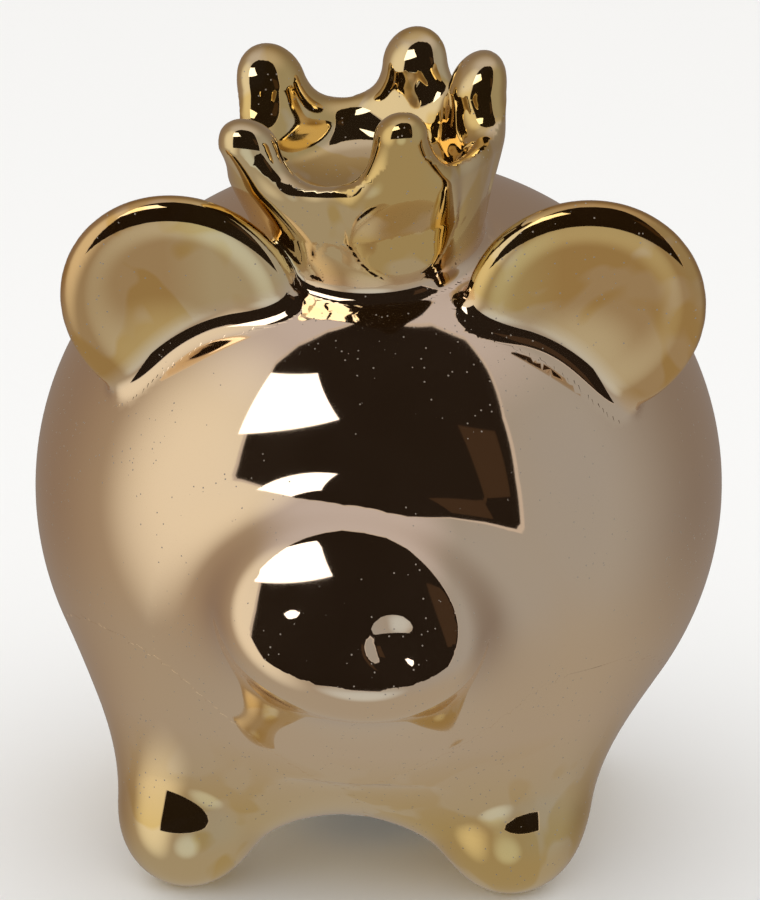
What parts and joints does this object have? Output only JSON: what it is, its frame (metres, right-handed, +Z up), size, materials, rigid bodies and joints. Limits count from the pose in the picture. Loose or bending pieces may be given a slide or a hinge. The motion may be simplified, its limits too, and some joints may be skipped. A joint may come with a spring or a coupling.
{
  "type": "piggy bank",
  "caption": "Round pig money bank in mirror-gilt glazed ceramic with a pronged crown, cupped ears, bulb feet, a slot along the spine and a pull-out belly plug.",
  "frame": {"origin": "on the floor, under the middle of the object's box", "axes": "+Z up; the snout faces -Y; +X is the pig's left"},
  "size_m": [0.127, 0.1514, 0.1537],
  "materials": {
    "gilt_glaze": "mirror gilt, warm champagne gold",
    "plug": "soft matt"
  },
  "bodies": {
    "bank": {"body_shell": "gilt_glaze", "snout": "gilt_glaze", "front_left_leg": "gilt_glaze", "front_right_leg": "gilt_glaze", "rear_left_leg": "gilt_glaze", "rear_right_leg": "gilt_glaze", "left_ear": "gilt_glaze", "right_ear": "gilt_glaze", "crown": "gilt_glaze", "tail": "gilt_glaze"},
    "plug": {"stopper": "plug"}
  },
  "joints": [
    {"name": "plug_pull", "type": "slide", "parent": "bank", "child": "plug", "axis": [0, 0, -1], "range_m": [0, 0.025]}
  ]
}
